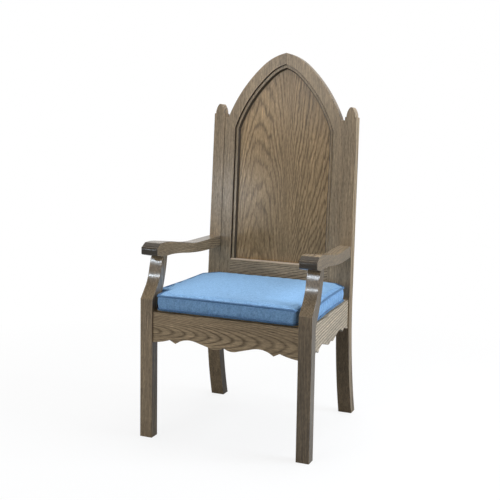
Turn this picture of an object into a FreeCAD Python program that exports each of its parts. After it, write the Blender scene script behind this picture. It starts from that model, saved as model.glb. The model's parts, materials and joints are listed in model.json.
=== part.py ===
import FreeCAD, Part
import math
import os

Vector = FreeCAD.Vector

# A free-standing armchair for a church: an oak frame with a pointed panelled back, and a loose
# boxed cushion on a dropped-in seat board. It is drawn in millimetres with +Z up and +Y to the
# back. Left and right are as seen by someone who faces the chair. While it is drawn, Y counts
# from the front faces of the front legs; placed() then moves the origin to the floor under the
# middle of the chair.

# Driving dimensions of the front legs, which run up into the curved arm supports
front_width = 620.0             # over the outer faces of both front legs
leg_width = 46.0
leg_depth = 40.0
crease_rise = 43.0              # from the seat rails up to the crease in the leg's front face
support_rise = 140.0            # from that crease up to the arm
support_lean = 78.0             # how far the front face has moved back where it meets the arm
support_top_depth = 33.0        # depth of the support under the arm
support_back_sag = 11.3         # how far the curved back face bows to the rear
slant_share = 0.29              # share of the rise that is the straight slant
slant_lean = 36.0
neck_share = 0.70               # share of the rise where the S-curve changes over
neck_lean = 62.0
lower_curve_sag = 3.4
upper_curve_sag = 1.2

# Driving dimensions of the seat frame
seat_height = 443.0             # top edges of the seat rails
rail_height = 105.0
rail_thickness = 22.0
front_rail_setback = 5.0
side_rail_front_inset = 12.0    # inside the outer face of the front leg
side_rail_back_inset = 4.5      # inside the outer face of the back post
rear_rail_setback = 4.0         # behind the front faces of the back posts
tenon_thickness = 10.0
tenon_height = 56.0
tenon_drop = 16.0               # from the rail's top edge down to the tenon
tenon_wall = 5.0                # wood left between two tenons in one leg or post
front_tenon_length = 22.0
side_back_tenon_length = 20.0

# The shaped lower edge of a rail: rises above its lowest line, then places along half its length
scallop_notch_rise = 9.5
scallop_lobe_rise = 4.0
scallop_arch_rise = 18.0
scallop_point_rise = 3.0
scallop_peak_rise = 14.0
lobe_share = 0.197
arch_share = 0.394
point_share = 0.674
peak_share = 0.757
lobe_sag = 6.3
arch_sag = 8.8
foot_sag = 2.2

# Driving dimensions of the back posts
back_width = 575.0              # over the outer faces of both posts at the floor
post_width = 50.5
post_depth = 40.0
post_taper = 7.0                # the outer face leans in by this much at the shoulder
post_setback = 489.5            # front face of the post at the knee
knee_rise = 17.0                # knee above the seat rails, where the sabre leg begins
rake_angle = 3.45
foot_kick = 55.5                # how far the foot stands behind the knee
shoulder_rise = 52.0            # shoulder above the springing of the arch
finial_step = 5.0
finial_height = 36.0
finial_tip_radius = 7.0         # rounding of its pointed top

# Driving dimensions of the arms
arm_thickness = 48.5            # over the support
arm_back_thickness = 40.0
arm_drop = 26.0                 # the underside falls by this much towards the post
arm_front_width = 62.0
arm_back_width = 44.0
arm_front_overhang = 7.0        # past the outer face of the front leg
arm_back_inset = 1.5            # inside the outer face of the post
arm_nose_setback = 15.0
arm_nose_radius = 5.0           # corners of the nose in plan
arm_rest_margin = 7.0           # flat underside left behind the support
fall_share = 0.41               # along the arm, where the underside falls fastest
fall_depth_share = 0.365        # of the drop that is done there
fall_sag = 1.2
heel_share = 0.86               # along the arm, where the underside is level again
heel_depth_share = 0.96
heel_sag = 4.0
dip_share = 0.69                # along the arm, where the level top begins to rise
dip_end_share = 0.44
dip_rise_share = 0.35
dip_sag = 3.2
crest_share = 0.20              # along the arm, where the top begins to round over
crest_rise_share = 0.88
crest_sag = 2.2
nose_top_depth = 27.0           # places on the moulded nose, with each depth behind its front
nose_slope_depth = 11.0
nose_slope_drop = 10.0          # drops count down from the top of the arm
nose_quirk_depth = 6.5
nose_quirk_drop = 12.5
nose_quirk_sag = 1.0
nose_bead_depth = 1.0
nose_bead_rise = 19.0           # rises count up from the underside over the support
nose_bead_sag = 3.8
nose_under_depth = 9.0
nose_under_rise = 8.5
nose_under_sag = 2.0
nose_rest_depth = 45.0

# Driving dimensions of the panelled back
frame_recess = 2.5              # behind the front faces of the posts
stile_width = 42.5
arch_step = 2.0                 # the arch is narrower than a stile by this much
sill_rise = 115.0               # top edge of the bottom rail above the seat rails
bottom_rail_width = 80.0
sill_chamfer = 4.0
panel_side_height = 497.0       # from the bottom rail up to the springing of the arch
spring_break = 18.5             # angle between the stile and the foot of the arch
side_radius = 490.0             # long arc of the opening
crown_radius = 150.0            # short arc of the opening beside its point
point_angle = 16.0              # slope of the opening's edge where it reaches its point
ledge_width = 9.1               # flat ledge on the foot of the arch, beside the post
cove_radius = 8.0
panel_recess = 19.0             # behind the front of the frame
panel_thickness = 8.0
groove_depth = 8.0
groove_wall = 5.0               # wood left behind the groove
panel_play = 0.5                # left free round the edge of the panel
groove_play = 0.1               # left free on each face of the panel
moulding_width = 16.5
moulding_sink = 6.0             # below the front of the frame
quirk_width = 4.0
quirk_depth = 3.0
moulding_slope = 5.0            # width of the slope beside the panel
moulding_foot = 3.0             # upright edge that is left beside the panel

# Driving dimensions of the seat board and its corner blocks
board_thickness = 12.0
board_proud = 4.5               # above the rails
board_gap = 1.0
block_reach = 65.0
block_height = 38.0
block_gap = 1.0

# Driving dimensions of the fasteners
dowel_diameter = 8.0
dowel_length = 40.0
arm_dowel_diameter = 10.0
arm_dowel_length = 44.0
arm_dowel_edge = 12.0           # from the side of the support to the nearest dowel
joint_play = 0.1                # round a dowel, a tenon or a screw
end_play = 1.0                  # past the end of a dowel or tenon
screw_diameter = 4.5
block_screw_bite = 13.0         # how far the shank enters the rail
board_screw_bite = 8.0          # how far the shank enters the board
screw_head_diameter = 8.5
screw_head_height = 3.2
screw_bed = 14.0                # wood left under a screw's head
screw_offset = 25.0             # from the corner to the screws into the rails
board_screw_offset_x = 12.0
board_screw_offset_y = 20.0
screw_height_share = 0.33       # of a block's height, from its lower or upper face
stile_dowel_count = 4
dowel_share = 0.27              # of a joint's width, from either edge to the nearest dowel
point_dowel_low_share = 0.25    # places of the two dowels in the joint at the arch's point
point_dowel_high_share = 0.60

# Driving dimensions of the cushion
cushion_thickness = 56.0
cushion_crown = 8.0
cushion_front = 8.0             # front of the cushion behind the front of the legs
cushion_leg_gap = 10.0
cushion_side_inset = 3.0        # inside the outer faces of the side rails
cushion_back_gap = 5.0          # in front of the back posts
cushion_corner_width = 45.5     # clipped back corners, measured across and along the chair
cushion_corner_depth = 48.0
cushion_lift = 40.0             # straight lift that the notches leave free
cushion_notch_gap = 4.0
cushion_corner_radius = 12.0
cushion_draw = 4.0              # how far the long edges are drawn in between the corners
cushion_bulge = 1.5             # how far the boxing swells between its welts
cushion_tuck = 4.0              # how far the top and bottom edges turn in under the welts
cushion_band = 9.5              # height of each turned-in edge
cushion_clearance = 0.3         # over the seat board
cover_thickness = 1.5
foam_play = 0.3
welt_diameter = 7.0
welt_backing = 0.5              # cover left under a welt
welt_play = 0.1
welt_sides = 8

edge_round = 1.5                # softened long edges of the front legs
over = 60.0                     # how far cutting bodies reach past what they cut
near_enough = 0.01              # two places this close count as the same

# Heights and places that follow from the driving dimensions
rail_low = seat_height - rail_height
crease_height = seat_height + crease_rise
arm_height = crease_height + support_rise
knee_height = seat_height + knee_rise
sill_height = seat_height + sill_rise
spring_height = sill_height + panel_side_height
shoulder_height = spring_height + shoulder_rise
leg_outer = front_width / 2
leg_inner = leg_outer - leg_width
post_inner = back_width / 2 - post_width
opening_half = post_inner - stile_width
arch_width = stile_width - arch_step
frame_thickness = panel_recess + panel_thickness + groove_wall
frame_front = post_setback + frame_recess
frame_middle = frame_front + frame_thickness / 2
moulding_flat = moulding_width - moulding_slope
front_rail_back = front_rail_setback + rail_thickness
rear_rail_front = post_setback + rear_rail_setback
tenon_top = seat_height - tenon_drop
tenon_low = tenon_top - tenon_height
front_tenon_middle = front_rail_setback + rail_thickness / 2
side_tenon_length = leg_depth - front_tenon_middle - tenon_thickness / 2 - tenon_wall
block_screw_length = screw_bed + block_screw_bite
board_screw_length = screw_bed + board_screw_bite
welt_bed = cover_thickness - welt_backing
board_top = seat_height + board_proud
board_low = board_top - board_thickness
block_low = board_low - block_height
cushion_low = board_top + cushion_clearance
cushion_edge = cushion_low + cushion_thickness
rake = math.radians(rake_angle)


def side(y, z):
    return Vector(0, y, z)


def front(x, z):
    return Vector(x, 0, z)


def plan(x, y):
    return Vector(x, y, 0)


def outline(view, points):
    """A closed wire through (a, b) points. A third number is the sagitta of an arc that leads to
    the point, positive where the arc bows to the left of its chord."""
    edges = []
    for start, end in zip(points, points[1:] + points[:1]):
        sag = end[2] if len(end) > 2 else 0.0
        a = view(start[0], start[1])
        b = view(end[0], end[1])
        if sag == 0.0:
            edges.append(Part.makeLine(a, b))
            continue
        run = math.hypot(end[0] - start[0], end[1] - start[1])
        middle_a = (start[0] + end[0]) / 2 - sag * (end[1] - start[1]) / run
        middle_b = (start[1] + end[1]) / 2 + sag * (end[0] - start[0]) / run
        edges.append(Part.Arc(a, view(middle_a, middle_b), b).toShape())
    return Part.Wire(edges)


def prism(wire, begin, end):
    """The outline's inside, drawn out from one place to another along its own normal axis."""
    face = Part.Face(wire)
    box = wire.BoundBox
    spans = [box.XLength, box.YLength, box.ZLength]
    axis = spans.index(min(spans))
    along = [Vector(1, 0, 0), Vector(0, 1, 0), Vector(0, 0, 1)][axis]
    return face.translated(along * begin).extrude(along * (end - begin))


def box(x0, x1, y0, y1, z0, z1):
    return Part.makeBox(x1 - x0, y1 - y0, z1 - z0, Vector(x0, y0, z0))


def rod(diameter, start, end):
    run = end - start
    return Part.makeCylinder(diameter / 2, run.Length, start, run)


def mirrored(shape):
    return shape.mirror(Vector(0, 0, 0), Vector(1, 0, 0))


def raked(shape):
    """Lean a piece of the back, drawn upright, about the knee line of the posts."""
    return shape.rotated(Vector(0, post_setback, knee_height), Vector(1, 0, 0), -rake_angle)


def rounded(shape, radius, wanted):
    return shape.makeFillet(radius, [edge for edge in shape.Edges if wanted(edge)])


def on_side_face(edge, x_values):
    """True for an edge that lies all along one of the planes across X."""
    span = edge.BoundBox
    return any(max(abs(span.XMin - x), abs(span.XMax - x)) < near_enough for x in x_values)


def arc_sag(start, end, radius):
    half_chord = math.hypot(end[0] - start[0], end[1] - start[1]) / 2
    return radius - math.sqrt(radius ** 2 - half_chord ** 2)


def dowel(diameter, length, middle, along):
    half = along * (length / 2)
    return rod(diameter, middle - half, middle + half)


def dowel_hole(diameter, length, middle, along):
    return dowel(diameter + 2 * joint_play, length + 2 * end_play, middle, along)


def screw(length, seat, along):
    """A pan head screw whose head bears on its seat and whose shank points along."""
    shank = rod(screw_diameter, seat, seat + along * length)
    head = rod(screw_head_diameter, seat - along * screw_head_height, seat)
    return shank.fuse(head).removeSplitter()


def screw_hole(length, seat, along):
    wide = 2 * joint_play
    shank = rod(screw_diameter + wide, seat, seat + along * (length + end_play))
    well = rod(screw_head_diameter + wide, seat - along * over, seat)
    return shank.fuse(well)


# The curved line of the back post, worked out as circles about one centre
foot_run = Vector(0, foot_kick, -knee_height)
rake_normal = Vector(0, math.cos(rake), -math.sin(rake))
sabre_radius = foot_run.Length ** 2 / (2 * foot_run.dot(rake_normal))
sabre_centre = Vector(0, post_setback, knee_height) + rake_normal * sabre_radius
post_front_most = sabre_centre.y - sabre_radius


def sabre_point(radius, height):
    return sabre_centre.y - math.sqrt(radius ** 2 - (height - sabre_centre.z) ** 2), height


chair_depth = sabre_point(sabre_radius - post_depth, 0.0)[0]


def post_outer(height):
    """Half width over the posts at a height, since their outer faces lean in."""
    return back_width / 2 - post_taper * height / shoulder_height


def post_face_depth(height):
    """Depth of the raked front face of the posts, above the knee."""
    return post_setback + (height - knee_height) * math.tan(rake)


def side_rail_outer(depth):
    """Half width over the side rails at a depth, since the seat narrows to the back."""
    start = leg_outer - side_rail_front_inset
    end = post_outer(rail_low) - side_rail_back_inset
    return start + (end - start) * (depth - leg_depth) / (post_setback - leg_depth)


def side_rail_inner(depth):
    return side_rail_outer(depth) - rail_thickness


def placed(shape):
    return shape.translated(Vector(0, -chair_depth / 2, 0))


def export(name, shape):
    if not shape.isValid():
        raise ValueError(name + " is not a valid shape")
    placed(shape).exportStep("parts/" + name + ".step")


def export_pair(name, right):
    export(name + "_right", right)
    export(name + "_left", mirrored(right))


# Front leg and arm support, in one piece

support_front_top = (support_lean, arm_height)
support_back_top = (support_lean + support_top_depth, arm_height)


def support_back_depth(height):
    """Depth of the support's bowed back face at a height above the seat rails."""
    base = Vector(0, leg_depth, seat_height)
    chord = Vector(0, *support_back_top) - base
    radius = (chord.Length ** 2 / 4 + support_back_sag ** 2) / (2 * support_back_sag)
    inward = Vector(0, chord.z, -chord.y).normalize()
    centre = base + chord * 0.5 + inward * (support_back_sag - radius)
    return centre.y + math.sqrt(radius ** 2 - (height - centre.z) ** 2)


def front_leg():
    points = [
        (0.0, 0.0),
        (leg_depth, 0.0),
        (leg_depth, seat_height),
        (support_back_top[0], support_back_top[1], -support_back_sag),
        support_front_top,
        (neck_lean, crease_height + neck_share * support_rise, -upper_curve_sag),
        (slant_lean, crease_height + slant_share * support_rise, lower_curve_sag),
        (0.0, crease_height),
    ]
    body = prism(outline(side, points), leg_inner, leg_outer)
    faces = (leg_inner, leg_outer)
    low = near_enough
    high = arm_height - near_enough
    return rounded(body, edge_round, lambda edge: on_side_face(edge, faces)
                   and edge.BoundBox.ZMax > low and edge.BoundBox.ZMin < high)


# Back post with its sabre foot, raked upper part and a finial with a small rounded point

def back_post():
    inner_radius = sabre_radius - post_depth
    knee_front = (post_setback, knee_height)
    knee_back = (post_setback + post_depth * rake_normal.y, knee_height + post_depth * rake_normal.z)
    foot_front = sabre_point(sabre_radius, 0.0)
    foot_back = sabre_point(inner_radius, 0.0)
    climb = shoulder_height + finial_height + over - knee_height
    drift = climb * math.tan(rake)
    line = [
        (*foot_front, -arc_sag(foot_front, knee_front, sabre_radius)),
        foot_back,
        (*knee_back, arc_sag(foot_back, knee_back, inner_radius)),
        (knee_back[0] + drift, knee_back[1] + climb),
        (knee_front[0] + drift, knee_front[1] + climb),
        knee_front,
    ]
    shoulder_outer = post_outer(shoulder_height)
    finial_outer = shoulder_outer - finial_step
    finial_inner = post_inner + finial_step
    finial_half = (finial_outer - finial_inner) / 2
    finial_middle = (finial_outer + finial_inner) / 2
    tip_rise = finial_height - finial_tip_radius
    finial_radius = ((finial_half ** 2 + tip_rise ** 2 - finial_tip_radius ** 2)
                     / (2 * (finial_half - finial_tip_radius)))
    tip_span = finial_radius - finial_tip_radius
    tip_half = finial_tip_radius * (finial_radius - finial_half) / tip_span
    tip_height = shoulder_height + tip_rise + finial_tip_radius * tip_rise / tip_span
    foot_outer = (finial_outer, shoulder_height)
    foot_inner = (finial_inner, shoulder_height)
    tip_outer = (finial_middle + tip_half, tip_height)
    tip_inner = (finial_middle - tip_half, tip_height)
    finial_sag = arc_sag(foot_outer, tip_outer, finial_radius)
    face = [
        (post_inner, -over),
        (post_outer(-over), -over),
        (shoulder_outer, shoulder_height),
        foot_outer,
        (*tip_outer, -finial_sag),
        (*tip_inner, -arc_sag(tip_outer, tip_inner, finial_tip_radius)),
        (*foot_inner, -finial_sag),
        (post_inner, shoulder_height),
    ]
    body = prism(outline(side, line), post_inner - over, post_outer(0.0) + over)
    stencil = prism(outline(front, face), post_setback - over, post_setback + foot_kick + 3 * over)
    return body.common(raked(stencil))


# Arm: its side view and its plan, each drawn out and then taken together

def arm():
    top = arm_height + arm_thickness
    low_back = arm_height - arm_drop
    top_back = low_back + arm_back_thickness
    nose = arm_nose_setback
    run = post_face_depth(top_back) - nose
    climb = top - top_back
    back = nose + run + over
    line = [
        (nose + nose_rest_depth, arm_height),
        (support_back_top[0] + arm_rest_margin, arm_height),
        (nose + fall_share * run, arm_height - fall_depth_share * arm_drop, fall_sag),
        (nose + heel_share * run, arm_height - heel_depth_share * arm_drop, -heel_sag),
        (back, low_back),
        (back, top_back),
        (nose + dip_share * run, top_back),
        (nose + dip_end_share * run, top_back + dip_rise_share * climb, dip_sag),
        (nose + crest_share * run, top_back + crest_rise_share * climb),
        (nose + nose_top_depth, top, -crest_sag),
        (nose + nose_slope_depth, top - nose_slope_drop),
        (nose + nose_quirk_depth, top - nose_quirk_drop, nose_quirk_sag),
        (nose + nose_bead_depth, arm_height + nose_bead_rise, -nose_bead_sag),
        (nose + nose_under_depth, arm_height + nose_under_rise, -nose_under_sag),
    ]
    outer_front = leg_outer + arm_front_overhang
    inner_front = outer_front - arm_front_width
    outer_back = post_outer(top_back) - arm_back_inset
    inner_back = outer_back - arm_back_width
    stretch = (back - nose) / run
    corner_sag = arm_nose_radius * (1 - math.sqrt(0.5))
    face = [
        (inner_front + arm_nose_radius, nose, -corner_sag),
        (outer_front - arm_nose_radius, nose),
        (outer_front, nose + arm_nose_radius, -corner_sag),
        (outer_front + (outer_back - outer_front) * stretch, back),
        (inner_front + (inner_back - inner_front) * stretch, back),
        (inner_front, nose + arm_nose_radius),
    ]
    body = prism(outline(side, line), inner_front - over, outer_front + over)
    body = body.common(prism(outline(plan, face), low_back - over, top + over))
    behind_posts = box(0, front_width, post_setback, post_setback + 4 * over, 0, top + over)
    return body.cut(raked(behind_posts))


# Seat rails, shaped along their lower edges and tenoned into the legs and posts

def scalloped(view, start, end):
    """Outline of a rail from start to end, with the same pattern on both sides of its middle."""
    half = (end - start) / 2
    middle = (start + end) / 2
    shape = [
        (lobe_share, scallop_lobe_rise, -lobe_sag),
        (arch_share, scallop_arch_rise, 0.0),
        (point_share, scallop_point_rise, arch_sag),
        (peak_share, scallop_peak_rise, 0.0),
        (1.0, 0.0, -foot_sag),
    ]
    right = [(middle + share * half, rail_low + rise, sag) for share, rise, sag in shape]
    notch = (0.0, scallop_notch_rise, 0.0)
    left = []
    for (share, rise, _), (_, _, sag) in zip([notch] + shape[:-1], shape):
        left.append((middle - share * half, rail_low + rise, sag))
    edge = [(start, rail_low)] + left[::-1] + right
    return outline(view, [(start, seat_height)] + edge + [(end, seat_height)])


def front_tenon(play, end):
    half = tenon_thickness / 2 + play
    return box(leg_inner - end_play, leg_inner + front_tenon_length + end,
               front_tenon_middle - half, front_tenon_middle + half, tenon_low - play, tenon_top + play)


def rear_tenon(play, end):
    middle = rear_rail_front + rail_thickness / 2
    half = tenon_thickness / 2 + play
    side_tenon_inner = side_rail_outer(post_setback) - rail_thickness / 2 - tenon_thickness / 2
    return box(post_inner - end_play, side_tenon_inner - tenon_wall + end,
               middle - half, middle + half, tenon_low - play, tenon_top + play)


def side_front_tenon(play, end):
    middle = side_rail_outer(leg_depth) - rail_thickness / 2
    half = tenon_thickness / 2 + play
    return box(middle - half, middle + half, leg_depth - side_tenon_length - end,
               leg_depth + end_play, tenon_low - play, tenon_top + play)


def side_back_tenon(play, end):
    middle = side_rail_outer(post_setback) - rail_thickness / 2
    half = tenon_thickness / 2 + play
    return box(middle - half, middle + half, post_front_most - end_play,
               post_front_most + side_back_tenon_length + end, tenon_low - play, tenon_top + play)


def front_rail():
    board = prism(scalloped(front, -leg_inner, leg_inner), front_rail_setback, front_rail_back)
    tenon = front_tenon(0.0, 0.0)
    return board.fuse([tenon, mirrored(tenon)]).removeSplitter()


def rear_seat_rail():
    board = box(-post_inner, post_inner, rear_rail_front, rear_rail_front + rail_thickness,
                rail_low, seat_height)
    tenon = rear_tenon(0.0, 0.0)
    return board.fuse([tenon, mirrored(tenon)]).removeSplitter()


def side_rail(post):
    end = post_setback + rear_rail_setback
    shape = scalloped(side, leg_depth, end)
    strip = outline(plan, [
        (side_rail_inner(leg_depth), leg_depth),
        (side_rail_outer(leg_depth), leg_depth),
        (side_rail_outer(end), end),
        (side_rail_inner(end), end),
    ])
    board = prism(strip, rail_low - over, seat_height + over).common(prism(shape, 0.0, front_width))
    board = board.cut(post)
    return board.fuse([side_front_tenon(0.0, 0.0), side_back_tenon(0.0, 0.0)]).removeSplitter()


# The panelled back, drawn upright in front view with its depth behind the front of the frame

spring_angle = math.radians(90 - spring_break)
side_centre = (opening_half - side_radius * math.sin(spring_angle),
               spring_height - side_radius * math.cos(spring_angle))
crown_shift = side_radius - crown_radius
crown_across = -crown_radius * math.sin(math.radians(point_angle))
crown_slope = math.asin((crown_across - side_centre[0]) / crown_shift)
crown_centre = (crown_across, side_centre[1] + crown_shift * math.cos(crown_slope))


def side_arc_height(inset, x):
    return side_centre[1] + math.sqrt((side_radius - inset) ** 2 - (x - side_centre[0]) ** 2)


def crown_start(inset):
    radius = side_radius - inset
    return side_centre[0] + radius * math.sin(crown_slope), side_centre[1] + radius * math.cos(crown_slope)


def apex(inset):
    return 0.0, crown_centre[1] + math.sqrt((crown_radius - inset) ** 2 - crown_centre[0] ** 2)


def spring_corner(inset):
    half = opening_half - inset
    return half, side_arc_height(inset, half)


def rising_arcs(inset, start):
    """The right half of the pointed arch from a start on its long arc up to its point."""
    turn = crown_start(inset)
    point = apex(inset)
    return [
        (*turn, -arc_sag(start, turn, side_radius - inset)),
        (*point, -arc_sag(turn, point, crown_radius - inset)),
    ]


def falling_arcs(inset, end):
    """The same arcs from the point down to an end on the right half."""
    turn = crown_start(inset)
    point = apex(inset)
    return [
        (*turn, arc_sag(point, turn, crown_radius - inset)),
        (*end, arc_sag(turn, end, side_radius - inset)),
    ]


def opening(inset, sill):
    """The arched opening of the frame, made smaller all round, above a sill."""
    half, spring = spring_corner(inset)
    rise = rising_arcs(inset, (half, spring))
    fall = [(-x, z, sag) for (x, z, _), (_, _, sag) in zip([rise[0], (half, spring, 0.0)], rise[::-1])]
    return outline(front, [(-half, sill), (half, sill), (half, spring)] + rise + fall)


def behind_frame(wire, begin, end):
    """Draw a front view out between two depths behind the front of the frame."""
    return prism(wire, frame_front + begin, frame_front + end)


def groove():
    sunk = opening(-groove_depth, sill_height - groove_depth)
    return behind_frame(sunk, panel_recess - groove_play, panel_recess + panel_thickness + groove_play)


def panel():
    edge = groove_depth - panel_play
    return behind_frame(opening(-edge, sill_height - edge), panel_recess, panel_recess + panel_thickness)


def stile():
    low = sill_height - bottom_rail_width
    return box(opening_half, post_inner, frame_front, frame_front + frame_thickness, low, spring_height)


def arch_half():
    cove_end = post_inner - ledge_width
    foot_x = cove_end - cove_radius
    foot = (foot_x, side_arc_height(-arch_width, foot_x))
    ledge_height = foot[1] - cove_radius
    cove_sag = cove_radius * (1 - math.sqrt(0.5))
    face = [
        (post_inner, spring_height),
        (post_inner, ledge_height),
        (cove_end, ledge_height),
        (*foot, cove_sag),
    ]
    face += rising_arcs(-arch_width, foot)
    face.append(apex(0.0))
    face += falling_arcs(0.0, (opening_half, spring_height))
    return behind_frame(outline(front, face), 0.0, frame_thickness)


def bottom_rail():
    low = sill_height - bottom_rail_width
    slope = [
        (frame_front, sill_height - sill_chamfer),
        (frame_front + sill_chamfer, sill_height),
        (frame_front, sill_height),
    ]
    board = box(-opening_half, opening_half, frame_front, frame_front + frame_thickness, low, sill_height)
    return board.cut(prism(outline(side, slope), -opening_half, opening_half))


def moulding():
    """The stepped moulding round the opening, before it is mitred: a quirk beside the frame, a
    flat, and a slope down to the panel."""
    sill = sill_height - over
    ring = behind_frame(opening(0.0, sill_height), moulding_sink, panel_recess)
    hole = behind_frame(opening(moulding_width, sill), 0.0, panel_recess)
    quirk = behind_frame(opening(0.0, sill), 0.0, moulding_sink + quirk_depth)
    quirk = quirk.cut(behind_frame(opening(quirk_width, sill), 0.0, moulding_sink + quirk_depth))
    slope_foot = frame_front + panel_recess - moulding_foot
    wide = opening(moulding_flat, sill).translated(Vector(0, frame_front + moulding_sink, 0))
    narrow = opening(moulding_width, sill).translated(Vector(0, slope_foot, 0))
    slope = Part.makeLoft([wide, narrow], True, True)
    return ring.cut([hole, quirk, slope])


def mitre_line():
    """The mitre at the right springing, drawn out past both edges of the moulding."""
    outer = spring_corner(0.0)
    inner = spring_corner(moulding_width)
    across = outer[0] - inner[0]
    down = outer[1] - inner[1]
    return (inner[0] - across, inner[1] - down), (outer[0] + across, outer[1] + down)


def mitred_moulding():
    """The right upright of the moulding and the right half of its arch."""
    inner, outer = mitre_line()
    below = [(inner[0], 0.0), (outer[0], 0.0), outer, inner]
    above = [(0.0, inner[1]), inner, outer, (outer[0], 2 * spring_height), (0.0, 2 * spring_height)]
    whole = moulding()
    upright = whole.common(behind_frame(outline(front, below), 0.0, frame_thickness))
    half_arch = whole.common(behind_frame(outline(front, above), 0.0, frame_thickness))
    return upright, half_arch


# Seat board, dropped in between the rails, and the corner blocks that carry it

def seat_board():
    near = front_rail_back + board_gap
    beside = support_back_depth(board_top) + board_gap
    far = post_front_most - board_gap
    right = [
        (leg_inner - board_gap, near),
        (leg_inner - board_gap, beside),
        (side_rail_inner(beside) - board_gap, beside),
        (side_rail_inner(far) - board_gap, far),
    ]
    left = [(-x, y) for x, y in reversed(right)]
    return prism(outline(plan, right + left), board_low, board_top)


def front_block():
    end = leg_depth + block_reach
    return prism(outline(plan, [
        (leg_inner - block_reach, front_rail_back),
        (leg_inner, front_rail_back),
        (leg_inner, leg_depth),
        (side_rail_inner(leg_depth), leg_depth),
        (side_rail_inner(end), end),
    ]), block_low, board_low)


def back_block():
    near = post_front_most - block_gap
    end = near - block_reach
    return prism(outline(plan, [
        (post_inner - block_reach, rear_rail_front),
        (post_inner - block_gap, rear_rail_front),
        (post_inner - block_gap, near),
        (side_rail_inner(near), near),
        (side_rail_inner(end), end),
    ]), block_low, board_low)


def block_screw_places():
    """Length, seat and direction of the screws that hold the right blocks to the rails."""
    length = block_screw_length
    low = block_low + block_height * screw_height_share
    high = board_low - block_height * screw_height_share
    front_side = leg_depth + screw_offset
    back_side = post_front_most - block_gap - screw_offset
    return [
        (length, Vector(leg_inner - screw_offset, front_rail_back + screw_bed, low), Vector(0, -1, 0)),
        (length, Vector(side_rail_inner(front_side) - screw_bed, front_side, high), Vector(1, 0, 0)),
        (length, Vector(post_inner - screw_offset, rear_rail_front - screw_bed, low), Vector(0, 1, 0)),
        (length, Vector(side_rail_inner(back_side) - screw_bed, back_side, high), Vector(1, 0, 0)),
    ]


def board_screw_places():
    """Length, seat and direction of the screws that hold the board down to the right blocks."""
    length = board_screw_length
    height = board_low - screw_bed
    x_front = leg_inner - board_screw_offset_x
    x_back = post_inner - board_screw_offset_x
    return [
        (length, Vector(x_front, front_rail_back + board_screw_offset_y, height), Vector(0, 0, 1)),
        (length, Vector(x_back, rear_rail_front - board_screw_offset_y, height), Vector(0, 0, 1)),
    ]


# Dowels on the right side, each as its diameter, length, middle and direction

def arm_support_dowel_places():
    depth = support_lean + support_top_depth / 2
    return [(arm_dowel_diameter, arm_dowel_length, Vector(x, depth, arm_height), Vector(0, 0, 1))
            for x in (leg_inner + arm_dowel_edge, leg_outer - arm_dowel_edge)]


def arm_post_dowel_places():
    top_back = arm_height - arm_drop + arm_back_thickness
    inset = dowel_share * arm_back_thickness
    x = post_outer(top_back) - arm_back_inset - arm_back_width / 2
    return [(arm_dowel_diameter, arm_dowel_length, Vector(x, post_face_depth(z), z), Vector(0, 1, 0))
            for z in (arm_height - arm_drop + inset, top_back - inset)]


def stile_post_dowel_places():
    low = sill_height - bottom_rail_width
    step = (spring_height - low) / stile_dowel_count
    return [(dowel_diameter, dowel_length, Vector(post_inner, frame_middle, low + (i + 0.5) * step),
             Vector(1, 0, 0)) for i in range(stile_dowel_count)]


def arch_stile_dowel_places():
    start = opening_half + groove_depth
    room = post_inner - start
    return [(dowel_diameter, dowel_length, Vector(start + share * room, frame_middle, spring_height),
             Vector(0, 0, 1)) for share in (dowel_share, 1 - dowel_share)]


def bottom_rail_dowel_places():
    low = sill_height - bottom_rail_width
    room = bottom_rail_width - groove_depth
    return [(dowel_diameter, dowel_length, Vector(opening_half, frame_middle, low + share * room),
             Vector(1, 0, 0)) for share in (dowel_share, 1 - dowel_share)]


def apex_dowel_places():
    start = apex(-groove_depth)[1]
    room = apex(-arch_width)[1] - start
    return [(dowel_diameter, dowel_length, Vector(0, frame_middle, start + share * room),
             Vector(1, 0, 0)) for share in (point_dowel_low_share, point_dowel_high_share)]


def dowels(places):
    return [dowel(*place) for place in places]


def dowel_holes(places):
    return [dowel_hole(*place) for place in places]


def both_sides(shapes):
    return Part.makeCompound(shapes + [mirrored(shape) for shape in shapes])


# The loose cushion: a notched, boxed cover with welts over a foam block

def cushion_corners():
    """Corners of the cushion in plan, counter-clockwise, with the draw of the edge that leads there."""
    notch = support_back_depth(cushion_edge + cushion_crown + cushion_lift) + cushion_notch_gap
    far = post_front_most - cushion_back_gap
    clip = far - cushion_corner_depth
    inner = leg_inner - cushion_leg_gap
    wide = side_rail_outer(clip) - cushion_side_inset
    right = [
        (inner, cushion_front, cushion_draw),
        (inner, notch, 0.0),
        (side_rail_outer(notch) - cushion_side_inset, notch, 0.0),
        (wide, clip, cushion_draw),
        (wide - cushion_corner_width, far, 0.0),
    ]
    draws = [draw for _, _, draw in right[1:]] + [cushion_draw]
    left = [(-x, y, draw) for (x, y, _), draw in zip(right, draws)]
    return right + left[::-1]


def inset_corners(corners, inset):
    """Move every edge of a counter-clockwise polygon inwards and find its corners again."""
    count = len(corners)
    lines = []
    for i in range(count):
        start = Vector(*corners[i - 1][:2], 0)
        run = (Vector(*corners[i][:2], 0) - start).normalize()
        lines.append((start + Vector(-run.y, run.x, 0) * inset, run))
    moved = []
    for i in range(count):
        (p, u), (q, v) = lines[i], lines[(i + 1) % count]
        reach = (q - p).cross(v).z / u.cross(v).z
        spot = p + u * reach
        moved.append((spot.x, spot.y, corners[i][2]))
    return moved


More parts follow.
